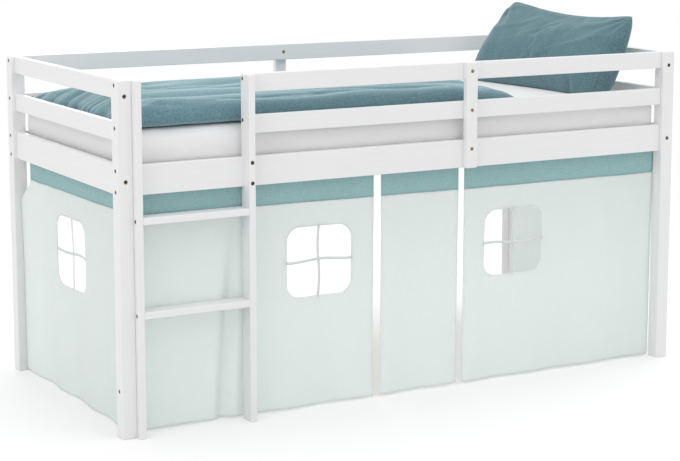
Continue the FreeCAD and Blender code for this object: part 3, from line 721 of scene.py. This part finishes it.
@dataclass(frozen=True)
class Curtain:
    """One curtain: a header band, a skirt, and the ribbons of its window."""

    name: str
    along: Vector
    inward: Vector
    waves: int
    seam_rise: tuple[float, float]
    seed: float
    window: Window | None = None
    window_at: float = 0.0
    extra_folds: tuple[Fold, ...] = ()
    drawn_in: float = 0.0
    flare: float = 0.0
    pitch: float = 0.009
    thickness: float = 0.0012
    hem_depth: float = 0.005
    header_depth: float = 0.0006
    hem_lift: float = 0.0012
    bend_length: float = 0.06
    seam_turning: float = 0.012
    seam_wander: float = 0.0016
    seam_scale: float = 7.0
    wave_wander: float = 0.45
    wave_scale: tuple[float, float] = (2.3, 0.7)
    ripple_depth: float = 0.0022
    ripple_scale: tuple[float, float] = (16.0, 1.4)
    ripple_start: float = 5.0
    hem_scale: float = 2.2
    hem_start: float = 9.0
    rim_part: float = 3.0
    loosening: float = 8.0
    overshoot: float = 1.16
    pleat_part: float = 9.0
    pleat_turn: float = 45.0
    band_ease: float = 1.01
    skirt_ease: float = 1.012
    area_ease: float = 1.02

    @cached_property
    def skirt_box(self) -> tuple[Vector, Vector]:
        """The box of the skirt's solid."""
        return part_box(f"{self.name}_curtain")

    @cached_property
    def header_box(self) -> tuple[Vector, Vector]:
        """The box of the header's solid."""
        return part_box(f"{self.name}_header")

    @cached_property
    def width(self) -> float:
        """The width of the curtain as it hangs."""
        low, high = self.skirt_box
        return abs((high - low).dot(self.along))

    @cached_property
    def corner(self) -> Vector:
        """The point on the floor under the start of the curtain's outer face."""
        low, high = self.header_box
        ahead = self.along + self.inward
        return Vector((low.x if ahead.x > 0 else high.x, low.y if ahead.y > 0 else high.y, 0.0))

    def seam(self, along: float) -> float:
        """Return how far the seam lies above the solids' straight one."""
        start, end = self.seam_rise
        share = along / self.width
        wander = self.seam_wander * noise.noise(Vector((along * self.seam_scale, self.seed, 0.0)))
        return start + (end - start) * share + wander

    def stand(self, along: float, fall: float) -> float:
        """Return how far the cloth stands inward of its outer plane.

        Args:
            along: The distance along the curtain.
            fall: The share of the way from the seam down to the hem, less than 0 on the header.

        Returns:
            The distance inward, never less than 0.
        """
        drop = max(fall, 0.0)
        depth = self.header_depth + (self.hem_depth - self.header_depth) * drop
        across, down = self.wave_scale
        wander = self.wave_wander * noise.noise(Vector((along * across, drop * down, self.seed)))
        wave = 1 - math.sin(math.pi * (along * self.waves / self.width + wander))
        across, down = self.ripple_scale
        ripple = 1 + noise.noise(Vector((along * across, drop * down, self.seed + self.ripple_start)))
        folds = sum(fold.stand(along, fall) for fold in self.extra_folds)
        return depth * wave + self.ripple_depth * ease(drop * 2.0) * ripple + folds

    def place(self, along: float, height: float) -> Vector:
        """Return where a point of the flat cloth hangs.

        Args:
            along: The distance along the curtain.
            height: The height of the point on the flat curtain.

        Returns:
            The point in the bed's frame.
        """
        low, high = self.skirt_box
        fall = (high.z - height) / (high.z - low.z)
        drop = min(max(fall, 0.0), 1.0)
        hem = self.hem_lift * (1 + noise.noise(Vector((along * self.hem_scale, self.seed, self.hem_start))))
        upright = height + self.seam(along) * (1 - ease(drop)) + (hem if fall > 0 else 0.0) * ease(drop)
        start = (1 - along / self.width) ** 2
        loose = ease(drop * self.loosening)
        shift = self.drawn_in * (1 - self.overshoot * loose) * start
        swing = 1 + math.sin(along * self.pleat_turn)
        pleats = self.drawn_in / self.pleat_part * start * (1 - loose) * swing / 2
        gathered = pleats - self.flare * loose * start
        return (
            self.corner
            + self.along * (along + shift)
            + self.inward * (self.stand(along, fall) + gathered)
            + Vector((0.0, 0.0, upright))
        )

    def _panel(self, bottom: float, top: float) -> bmesh.types.BMesh:
        """Return a flat grid whose X is the distance along and Y the height."""
        mesh = flat_grid(self.width, top - bottom, self.pitch)
        bmesh.ops.translate(mesh, vec=(self.width / 2, (bottom + top) / 2, 0.0), verts=mesh.verts)
        return mesh

    def _open_window(self, mesh: bmesh.types.BMesh, middle: Vector) -> None:
        """Cut the window out of a flat grid and draw the cloth round it to the window's edge.

        Args:
            mesh: The flat grid.
            middle: The middle of the window.
        """
        def inside(vertex: bmesh.types.BMVert) -> bool:
            """Tell whether a vertex is in the window or close to its edge."""
            gap = self.window.gap(vertex.co.x - middle.x, vertex.co.y - middle.y)
            return gap < self.pitch / self.rim_part

        gone = [face for face in mesh.faces if any(inside(vertex) for vertex in face.verts)]
        rim = {edge for face in gone for edge in face.edges}
        bmesh.ops.delete(mesh, geom=gone, context="FACES")
        edges = [edge for edge in rim if edge.is_valid and edge.is_boundary]
        drawn = bmesh.ops.extrude_edge_only(mesh, edges=edges)["geom"]
        for vertex in (item for item in drawn if isinstance(item, bmesh.types.BMVert)):
            x, y = self.window.onto_edge(vertex.co.x - middle.x, vertex.co.y - middle.y)
            vertex.co = Vector((middle.x + x, middle.y + y, 0.0))

    def _hang(self, mesh: bmesh.types.BMesh, edge_gap: Callable[[Vector], float]) -> None:
        """Map a flat grid and hang it in folds.

        Args:
            mesh: The flat grid, which is changed.
            edge_gap: What gives the distance from a point to the nearest hemmed edge.
        """
        map_flat(mesh)
        gaps = mesh.verts.layers.float.new(EDGE_NAME)
        for vertex in mesh.verts:
            vertex[gaps] = edge_gap(vertex.co)
            vertex.co = self.place(vertex.co.x, vertex.co.y)
        out = -self.inward
        if sum((face.normal_update() or face.normal.dot(out)) for face in mesh.faces) < 0:
            bmesh.ops.reverse_faces(mesh, faces=mesh.faces)

    def build_header(self, wardrobe: Wardrobe) -> bpy.types.Object:
        """Make the band that hangs from the hook tape.

        Args:
            wardrobe: Where the finish comes from.

        Returns:
            The header.
        """
        low, high = self.header_box
        seam_gap = low.z - self.skirt_box[1].z
        mesh = self._panel(low.z - seam_gap, high.z)
        self._hang(mesh, lambda point: point.y - low.z + seam_gap)
        piece = new_piece(f"{self.name}_band", mesh)
        thicken(piece, self.thickness, -1.0)
        wardrobe.dress(piece, HEADER_COTTON)
        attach(piece, "frame")
        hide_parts(f"{self.name}_header")
        flat = (self.width * self.band_ease, high.z - low.z + seam_gap)
        return piece

    def build_skirt(self, wardrobe: Wardrobe) -> bpy.types.Object:
        """Make the skirt with its window and ribbons.

        Args:
            wardrobe: Where the finishes come from.

        Returns:
            The skirt.
        """
        low, high = self.skirt_box
        mesh = self._panel(low.z, high.z)
        middle = Vector((self.window_at, 0.0))
        area = self.width * (high.z - low.z)
        if self.window:
            ribbon_low, ribbon_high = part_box(f"{self.name}_window_ribbon")
            middle.y = (ribbon_low.z + ribbon_high.z) / 2
            self._open_window(mesh, middle)
            area -= self.window.width * self.window.height
            self._build_ribbons(wardrobe, middle)

        def edge_gap(point: Vector) -> float:
            """Return the distance from a point to the nearest hem."""
            gaps = [point.x, self.width - point.x, point.y - low.z]
            if self.window:
                gaps.append(self.window.gap(point.x - middle.x, point.y - middle.y))
            return min(gaps)

        self._hang(mesh, edge_gap)
        piece = new_piece(f"{self.name}_skirt", mesh)
        thicken(piece, self.thickness, -1.0)
        wardrobe.dress(piece, MINT_COTTON)
        body = f"{self.name}_curtain"
        top = self.corner + Vector((0.0, 0.0, high.z))
        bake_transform(piece)
        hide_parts(body)
        flat = (self.width * self.skirt_ease, high.z - low.z + self.seam_turning)
        area = min(area * self.area_ease, flat[0] * flat[1])
        return piece

    def _build_ribbons(self, wardrobe: Wardrobe, middle: Vector) -> bpy.types.Object:
        """Make the cross of ribbons that is sewn behind the window.

        Args:
            wardrobe: Where the finish comes from.
            middle: The middle of the window on the flat curtain.

        Returns:
            The ribbons as one piece.
        """
        window = self.window
        mesh = bmesh.new()
        uv = mesh.loops.layers.uv.new(UV_NAME)
        behind = self.thickness + window.ribbon_thickness
        for number, (reach, turned) in enumerate(((window.width, False), (window.height, True))):
            length = reach + 2 * window.ribbon_overlap
            known = set(mesh.verts)
            columns = round(length / window.ribbon_pitch)
            bmesh.ops.create_grid(mesh, x_segments=columns, y_segments=2, size=0.5)
            strip = [vertex for vertex in mesh.verts if vertex not in known]
            for face in {face for vertex in strip for face in vertex.link_faces}:
                for loop in face.loops:
                    loop[uv].uv = (loop.vert.co.x * length, loop.vert.co.y * window.ribbon_width)
            for vertex in strip:
                share, across = vertex.co.x, vertex.co.y * window.ribbon_width
                free = math.cos(math.pi * min(abs(share) * length / reach, 0.5))
                phase = window.ribbon_turn * share + self.seed + window.ribbon_offset * number
                bow = window.ribbon_slack * free * math.sin(phase)
                run, rise = (across + bow, share * length) if turned else (share * length, across + bow)
                spot = self.place(middle.x + run, middle.y + rise)
                stacked = behind + number * window.ribbon_stack * window.ribbon_thickness
                vertex.co = spot + self.inward * stacked
        piece = new_piece(f"{self.name}_ribbon_cross", mesh)
        thicken(piece, window.ribbon_thickness, 0.0)
        wardrobe.dress(piece, RIBBON)
        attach(piece, f"{self.name}_curtain")
        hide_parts(f"{self.name}_window_ribbon")
        return piece

    def build(self, wardrobe: Wardrobe) -> None:
        """Make the header and the skirt."""
        band = self.build_header(wardrobe)
        skirt = self.build_skirt(wardrobe)
        LOG.info("%s and %s hang at %s", band.name, skirt.name, self.name)


def upright_edges(mesh: bmesh.types.BMesh) -> list[bmesh.types.BMEdge]:
    """Return the edges of a slab that run up and down."""
    return [edge for edge in mesh.edges if abs(edge.verts[0].co.z - edge.verts[1].co.z) > UPRIGHT_RISE]


def rim_edges(mesh: bmesh.types.BMesh, way: float) -> list[bmesh.types.BMEdge]:
    """Return the edges round the face of a slab that looks up, way 1, or down, way -1."""
    mesh.normal_update()
    return [
        edge for edge in mesh.edges
        if {face.normal.z * way > FLAT_NORMAL for face in edge.link_faces} == {True, False}
    ]


def round_off(mesh: bmesh.types.BMesh, edges: list[bmesh.types.BMEdge], radius: float) -> None:
    """Round edges of a shape."""
    bmesh.ops.bevel(
        mesh,
        geom=edges,
        offset=radius,
        offset_type="OFFSET",
        segments=ROUND_STEPS,
        profile=0.5,
        affect="EDGES",
        material=-1,
    )


def rounded_slab(
    corners: Iterable[tuple[float, float]],
    heights: tuple[float, float],
    corner: float,
    rims: tuple[float, float],
) -> bmesh.types.BMesh:
    """Return a slab with four rounded corners and rounded rims.

    Args:
        corners: The four corners, anticlockwise.
        heights: The heights of its bottom and its top.
        corner: The radius of its corners.
        rims: The radii of its bottom and top rims.

    Returns:
        The slab.
    """
    bottom, top = heights
    mesh = bmesh.new()
    outline = mesh.faces.new([mesh.verts.new((x, y, bottom)) for x, y in corners])
    raised = bmesh.ops.extrude_face_region(mesh, geom=[outline])["geom"]
    risen = [item for item in raised if isinstance(item, bmesh.types.BMVert)]
    bmesh.ops.translate(mesh, vec=(0.0, 0.0, top - bottom), verts=risen)
    bmesh.ops.recalc_face_normals(mesh, faces=mesh.faces)
    round_off(mesh, upright_edges(mesh), corner)
    round_off(mesh, rim_edges(mesh, -1.0), rims[0])
    round_off(mesh, rim_edges(mesh, 1.0), rims[1])
    return mesh


@dataclass(frozen=True)
class Mattress:
    """The mattress in its fitted white sheet."""

    corner: float = 0.014
    foot: float = 0.012
    rim: float = 0.042
    inset: float = 0.002
    voxel: float = 0.0145
    swell: Swell = Swell(pressure=2.0, frames=10, travel=0.004, slack=0.004)
    drag: float = 0.0022
    drag_level: float = 0.6
    drag_pattern: Pattern = Pattern((5.0, 9.0, 14.0), (0.0, 0.0, 3.0))

    def build(self, wardrobe: Wardrobe) -> bpy.types.Object:
        """Make the mattress.

        Args:
            wardrobe: Where the finish comes from.

        Returns:
            The mattress.
        """
        low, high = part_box("mattress")
        left, right = low.x + self.inset, high.x - self.inset
        front, rear = low.y + self.inset, high.y - self.inset
        corners = ((left, front), (right, front), (right, rear), (left, rear))
        heights = (low.z + self.inset, high.z - self.inset)
        mesh = rounded_slab(corners, heights, self.corner, (self.foot, self.rim))
        piece = new_piece("sheeted_mattress", mesh)
        remesh(piece, self.voxel)
        self.swell.apply(piece)
        refine(piece)

        def settle(point: Vector, normal: Vector) -> Vector:
            """Return a point of the sheet with its drag lines, held between the slats and the rails."""
            lines = ridge(self.drag_pattern.at(point)) - self.drag_level
            moved = point + normal * (self.drag * lines)
            for axis in range(3):
                moved[axis] = min(max(moved[axis], low[axis]), high[axis])
            return moved

        reshape(piece, settle)
        wardrobe.dress(piece, SHEET_COTTON)
        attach(piece, "mattress")
        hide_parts("mattress")
        return piece


@dataclass(frozen=True)
class Duvet:
    """The duvet, which lies short of the pillow with a slanting edge."""

    front_end: float = 0.444
    slack_edge: float = 0.010
    start_height: float = 0.048
    corner: float = 0.024
    rim: float = 0.022
    voxel: float = 0.0125
    swell: Swell = Swell(pressure=3.0, frames=16, travel=0.016, slack=0.035, bending=0.3)
    long_wrinkle: float = 0.016
    tuck: float = 0.020
    short_wrinkle: float = 0.007
    droop: float = 0.010
    droop_from: float = -0.40
    droop_reach: float = 0.045
    wrinkle_from: float = 0.02
    tuck_height: float = 0.026
    overhang: float = 0.006
    tapers: tuple[tuple[float, float], ...] = ((0.26, 0.2), (0.30, 0.45), (0.14, 0.5))
    taper_power: float = 0.6
    sway: float = 0.10
    slant: float = 0.05
    sway_pattern: Pattern = Pattern((1.1, 1.6, 0.0), (0.0, 0.0, 4.0))
    long_pattern: Pattern = Pattern((1.5, 8.5, 2.0), (0.0, 0.0, 1.0))
    short_pattern: Pattern = Pattern((3.4, 17.0, 12.0), (7.0, 0.0, 2.0))
    clump_pattern: Pattern = Pattern((2.4, 3.2, 0.0), (0.0, 0.0, 8.0))
    droop_pattern: Pattern = Pattern((2.6, 0.0, 0.0), (0.0, 3.0, 0.0))

    def _fullness(self, point: Vector, low: Vector, high: Vector) -> float:
        """Return the share of its full height that the duvet keeps near its right, rear and left edges.

        Args:
            point: A place on the duvet.
            low: The low corner of the solid's box.
            high: The high corner of the solid's box.

        Returns:
            The share, from 0 to 1.
        """
        share = (point.y - low.y) / (high.y - low.y)
        right_edge = self.front_end + (high.x - self.front_end) * share
        gaps = (right_edge - point.x, high.y - point.y, point.x - low.x)
        return math.prod(
            least + (1 - least) * min(max(gap, 0.0) / reach, 1.0) ** self.taper_power
            for gap, (reach, least) in zip(gaps, self.tapers)
        )

    def _wrinkles(self, point: Vector) -> float:
        """Return how far the cover stands out in wrinkles that run mostly along the bed."""
        sway = self.sway * noise.noise(self.sway_pattern.at(point))
        turned = Vector((point.x, point.y + sway + self.slant * point.x, point.z))
        long_lines = hollow(self.long_pattern.at(turned))
        short_lines = hollow(self.short_pattern.at(turned))
        clumps = ease(0.5 + noise.noise(self.clump_pattern.at(point)))
        return self.long_wrinkle * long_lines + self.short_wrinkle * short_lines * clumps

    def build(self, wardrobe: Wardrobe) -> bpy.types.Object:
        """Make the duvet.

        Args:
            wardrobe: Where the finish comes from.

        Returns:
            The duvet.
        """
        low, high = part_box("duvet")
        edge = self.slack_edge
        corners = (
            (low.x + edge, low.y + edge),
            (self.front_end - edge, low.y + edge),
            (high.x - edge, high.y - edge),
            (low.x + edge, high.y - edge),
        )
        mesh = rounded_slab(corners, (low.z, low.z + self.start_height), self.corner, (self.rim, self.rim))
        piece = new_piece("duvet_cover", mesh)
        remesh(piece, self.voxel)
        self.swell.apply(piece)
        refine(piece)

        def rumple(point: Vector, normal: Vector) -> Vector:
            """Return a point of the cover with its wrinkles, resting on the mattress."""
            share = ease((point.z - low.z) / self.wrinkle_from)
            moved = point + normal * (self._wrinkles(point) * share)
            uneven = 0.75 + 0.5 * noise.noise(self.droop_pattern.at(moved))
            base = low.z - self.droop * uneven * ease((self.droop_from - moved.y) / self.droop_reach)
            moved.z = base + max(moved.z - low.z, 0.0) * self._fullness(moved, low, high)
            lower = 1 - ease((moved.z - base) / self.tuck_height)
            tucked = self.tuck * lower * (moved.y < self.droop_from)
            moved.x = max(moved.x, low.x - self.overhang)
            moved.y = min(max(moved.y, low.y - self.overhang) + tucked, high.y + self.overhang)
            return moved

        reshape(piece, rumple)
        wardrobe.dress(piece, DUVET_COTTON)
        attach(piece, "duvet")
        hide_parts("duvet")
        return piece


@dataclass(frozen=True)
class Pillow:
    """The pillow, which leans back at the head of the bed."""

    cut_length: float = 0.78
    cut_height: float = 0.40
    seam: float = 0.006
    pitch: float = 0.009
    length: float = 0.745
    height: float = 0.372
    thickness: float = 0.185
    lean: float = math.radians(57)
    swell: Swell = Swell(pressure=2.0, frames=22, travel=0.014, slack=0.03, bending=0.1, pucker=0.1)
    sag: float = 0.014
    sink: float = 0.032
    tip_x: float = 0.972
    twist: float = 0.034
    droop: float = 0.015
    crease_at: float = -0.255
    crease_depth: float = 0.016
    blunt: float = 0.06
    blunt_power: float = 6.0
    foot_power: float = 0.45
    top_power: float = 0.7
    fullest: float = 0.463
    end_power: float = 9.0
    end_round: float = 0.45
    front_share: float = 0.44
    back_share: float = 0.56
    side_draw: float = 0.05
    end_draw: float = 0.035
    pucker_at: float = 0.03
    pucker_depth: float = 0.004
    pull_depth: float = 0.009
    pull_reach: float = 0.10
    pull_rays: float = 13.0
    seam_flat: float = 0.02
    fold_depth: float = 0.006
    fold_from: float = 0.06
    crease_least: float = 0.008
    crease_spread: float = 0.05
    crease_fade: float = 2.5
    lump_pattern: Pattern = Pattern((34.0, 34.0, 0.0), (0.0, 0.0, 3.0))

    def _cover(self) -> bmesh.types.BMesh:
        """Return the flat cover, closed all round, with its map."""
        mesh = flat_grid(self.cut_height, self.cut_length, self.pitch)
        bmesh.ops.solidify(mesh, geom=mesh.faces[:], thickness=self.seam)
        bmesh.ops.recalc_face_normals(mesh, faces=mesh.faces)
        map_flat(mesh)
        return mesh

    def _rim_gap(self, point: Vector) -> float:
        """Return the distance from a point of the flat cover to its nearest side."""
        return min(self.cut_height / 2 - abs(point.x), self.cut_length / 2 - abs(point.y))

    def _plump(self, point: Vector, normal: Vector) -> Vector:
        """Return a point of the flat cover roughly filled, fuller at the bottom and drawn in at the seams."""
        x, y = 2 * point.x / self.cut_height, 2 * point.y / self.cut_length
        rise = (x + 1) / 2
        swelling = max(rise, 0.0) ** self.foot_power * max(1 - rise, 0.0) ** self.top_power / self.fullest
        crown = swelling * max(0.0, 1 - abs(y) ** self.end_power) ** self.end_round
        front = point.z > -self.seam / 2
        depth = (self.front_share if front else -self.back_share) * crown * self.thickness
        cut_back = 1 - self.blunt * abs(x * y) ** self.blunt_power
        across = point.x * (1 - self.side_draw * (1 - y * y))
        along = point.y * (1 - self.end_draw * (1 - x * x))
        place = Vector((across, along, 0.0)) * cut_back
        place.z = depth
        if front:
            place.z -= self._creases(point)
        return place

    def _creases(self, point: Vector) -> float:
        """Return how far the front of the flat cover is creased inward at a point."""
        rise = point.x / self.cut_height + 0.5
        spread = self.crease_least + self.crease_spread * rise
        dent = math.exp(-(((point.y - self.crease_at) / spread) ** 2)) * (1 - ease(rise * self.crease_fade))
        gap = self._rim_gap(point)
        lumps = 1 + noise.noise(self.lump_pattern.at(point))
        pucker = math.exp(-((gap - self.pucker_at) / self.pucker_at) ** 2) * lumps
        drawn = 0.0
        for end in (-1.0, 1.0):
            arm = Vector((self.cut_height / 2 - point.x, end * self.cut_length / 2 - point.y))
            turn = math.atan2(arm.x, abs(arm.y))
            rays = math.sin(turn * self.pull_rays + end)
            drawn += math.exp(-arm.length / self.pull_reach) * rays * ease(gap / self.seam_flat)
        diagonal = ridge(Vector((point.x * 9.0 + point.y * 5.0, point.y * 3.0 - point.x * 2.0, 6.0)))
        folds = self.fold_depth * (1 - diagonal) * ease(gap / self.fold_from)
        return self.crease_depth * dent + self.pucker_depth * pucker + self.pull_depth * drawn + folds

    def build(self, wardrobe: Wardrobe) -> bpy.types.Object:
        """Make the pillow.

        Args:
            wardrobe: Where the finish comes from.

        Returns:
            The pillow.
        """
        piece = new_piece("pillow_case", self._cover())
        rim = [vertex.index for vertex in piece.data.vertices if self._rim_gap(vertex.co) < self.pitch / 2]
        piece.vertex_groups.new(name=SEAM_NAME).add(rim, 1.0, "REPLACE")
        reshape(piece, self._plump)
        self.swell.apply(piece)
        refine(piece)
        self._lean_back(piece)
        wardrobe.dress(piece, PILLOW_COTTON)
        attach(piece, "pillow")
        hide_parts("pillow")
        return piece

    def _lean_back(self, piece: bpy.types.Object) -> None:
        """Bring the blown-up cover to its size, lean it back and set it on the mattress.

        Args:
            piece: The pillow, whose points are changed.
        """
        low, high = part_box("pillow")
        points = [vertex.co for vertex in piece.data.vertices]
        starts = [min(point[axis] for point in points) for axis in range(3)]
        ends = [max(point[axis] for point in points) for axis in range(3)]
        spans = [end - start for start, end in zip(starts, ends)]
        middles = [(end + start) / 2 for start, end in zip(starts, ends)]
        scale = [wanted / span for wanted, span in zip((self.height, self.length, self.thickness), spans)]
        LOG.info("pillow cover blown up to %s", [round(span, 3) for span in spans])
        turn = Matrix.Rotation(-self.lean, 3, "Y")

        def lean(point: Vector, normal: Vector) -> Vector:
            """Return a point of the cover at its size, sagging and leaning."""
            sized = Vector((point[axis] - middles[axis]) * scale[axis] for axis in range(3))
            share = sized.y / (self.length / 2)
            top = ease(sized.x / self.height + 0.5)
            sized.x -= self.sag * (1 - share * share) * top
            near = ease(0.5 - share / 2)
            return turn @ sized + Vector((self.twist * near * (1 - top), 0.0, -self.droop * near * top))

        reshape(piece, lean)
        leaned = [vertex.co for vertex in piece.data.vertices]
        far = max(point.x for point in leaned)
        deep = min(point.z for point in leaned)
        shift = Vector((self.tip_x - far, (low.y + high.y) / 2, low.z - deep - self.sink))

        def rest(point: Vector, normal: Vector) -> Vector:
            """Return a point of the pillow in its place, flattened where it rests."""
            moved = point + shift
            moved.z = max(moved.z, low.z)
            return moved

        reshape(piece, rest)


@dataclass(frozen=True)
class Lamp:
    """A soft square lamp that points at the bed."""

    name: str
    place: Triple
    size: float
    power: float


@dataclass(frozen=True)
class Studio:
    """The floor, the light and the camera."""

    camera_place: Triple = (-3.0845, -5.4720, 1.6369)
    turn: float = 0.5102
    tilt: float = 0.1534
    focal: float = 1828.5
    picture_width: float = 680.0
    sensor: float = 36.0
    rise: float = -0.08
    sight: float = 200.0
    floor_size: float = 60.0
    floor_colour: Colour = (0.8, 0.8, 0.8)
    floor_shown: Colour = (0.64, 0.64, 0.64)
    floor_glow: float = 0.33
    floor_near: float = 1.7
    floor_far: float = 3.4
    ambient: float = 0.86
    aim: Triple = (0.0, 0.0, 0.6)
    lamps: tuple[Lamp, ...] = (
        Lamp("key", (-5.6, -2.6, 3.8), 3.5, 56.0),
        Lamp("fill", (1.0, -3.6, 6.4), 3.5, 46.0),
        Lamp("top", (0.0, 0.2, 6.0), 4.0, 40.0),
        Lamp("side", (5.6, 1.5, 2.6), 3.0, 80.0),
        Lamp("rear", (0.6, 5.6, 1.5), 3.0, 125.0),
    )

    def _seen(self, recipe: Recipe) -> Term:
        """Return 1 for what the eye sees directly, in a gloss or through glass."""
        path = recipe.node("ShaderNodeLightPath", output="Is Camera Ray")
        total = path + path.part("Is Glossy Ray") + path.part("Is Transmission Ray")
        return total.step(0.0, 1.0)

    def build_floor(self) -> None:
        """Lay the pale floor, which keeps the bed's shadow."""
        mesh = bmesh.new()
        bmesh.ops.create_grid(mesh, x_segments=1, y_segments=1, size=self.floor_size / 2)
        floor = new_piece("floor", mesh)
        material, recipe = new_material("pale_floor")
        seen = self._seen(recipe)
        place = recipe.node("ShaderNodeTexCoord", output="Object")
        distance = recipe.node("ShaderNodeVectorMath", {"operation": "LENGTH"}, {0: place}, "Value")
        matt = recipe.node("ShaderNodeBsdfDiffuse", None, {"Color": self.floor_colour})
        shadow = recipe.node("ShaderNodeBsdfDiffuse", None, {"Color": self.floor_shown})
        glow = recipe.node("ShaderNodeEmission", None, {"Strength": self.floor_glow})
        near = recipe.node("ShaderNodeAddShader", None, {0: shadow, 1: glow})
        far = recipe.node("ShaderNodeEmission", None, {"Strength": 1.0})
        share = distance.step(self.floor_near, self.floor_far)
        shown = recipe.node("ShaderNodeMixShader", None, {0: share, 1: near, 2: far})
        floor_shader = recipe.node("ShaderNodeMixShader", None, {0: seen, 1: matt, 2: shown})
        recipe.node("ShaderNodeOutputMaterial", None, {"Surface": floor_shader})
        floor.data.materials.append(material)

    def build_light(self) -> None:
        """Set the lamps and the even light all round."""
        for lamp in self.lamps:
            data = bpy.data.lights.new(lamp.name, "AREA")
            data.size = lamp.size
            data.energy = lamp.power
            light = bpy.data.objects.new(lamp.name, data)
            light.location = lamp.place
            heading = Vector(self.aim) - Vector(lamp.place)
            light.rotation_euler = heading.to_track_quat("-Z", "Y").to_euler()
            bpy.context.scene.collection.objects.link(light)
        world = bpy.data.worlds.new("studio")
        world.use_nodes = True
        recipe = Recipe(world.node_tree)
        seen = self._seen(recipe)
        strength = seen + (1 - seen) * self.ambient
        sky = recipe.node("ShaderNodeBackground", None, {"Color": (1.0, 1.0, 1.0), "Strength": strength})
        recipe.node("ShaderNodeOutputWorld", None, {"Surface": sky})
        bpy.context.scene.world = world

    def build_camera(self) -> None:
        """Stand the camera at the photograph's viewpoint."""
        data = bpy.data.cameras.new("camera")
        data.sensor_width = self.sensor
        data.lens = self.focal * self.sensor / self.picture_width
        data.shift_y = self.rise
        data.clip_end = self.sight
        camera = bpy.data.objects.new("camera", data)
        camera.location = self.camera_place
        camera.rotation_euler = (math.pi / 2 - self.tilt, 0.0, -self.turn)
        bpy.context.scene.collection.objects.link(camera)
        bpy.context.scene.camera = camera

    def build(self) -> None:
        """Set up the whole studio."""
        self.build_floor()
        self.build_light()
        self.build_camera()
        bpy.context.scene.view_settings.view_transform = "Standard"


ALONG_X, ALONG_Y = Vector((1, 0, 0)), Vector((0, 1, 0))


def curtains() -> tuple[Curtain, ...]:
    """Return the five curtains, with their folds and the rise of their seams."""
    window = Window()
    return (
        Curtain(
            "front_left", ALONG_X, ALONG_Y, 7, (0.008, 0.003), 1.3, window, 0.640,
            (Fold(0.345, 0.022, 0.028, drift=-0.045), Fold(0.10, 0.05, 0.006)),
        ),
        Curtain("front_middle", ALONG_X, ALONG_Y, 3, (0.002, 0.0), 2.9),
        Curtain(
            "front_right", ALONG_X, ALONG_Y, 7, (-0.001, -0.003), 4.1, window, 0.200,
            (Fold(0.69, 0.04, 0.006, drift=0.02),),
        ),
        Curtain(
            "left_end", -ALONG_Y, ALONG_X, 7, (0.009, 0.020), 6.2, window, 0.433,
            drawn_in=0.045, flare=0.016,
        ),
        Curtain("right_end", ALONG_Y, -ALONG_X, 7, (0.002, 0.006), 8.7, window, 0.433),
    )


def main() -> None:
    """Build and dress the bed, piece by piece."""
    logging.basicConfig(level=logging.INFO, format="%(message)s")
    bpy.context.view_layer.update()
    wardrobe = Wardrobe()
    Studio().build()
    Joinery().dress(wardrobe)
    for curtain in curtains():
        curtain.build(wardrobe)
    for bedding in (Mattress(), Duvet(), Pillow()):
        piece = bedding.build(wardrobe)
        LOG.info("%s has %d faces", piece.name, len(piece.data.polygons))


if __name__ == "__main__":
    main()
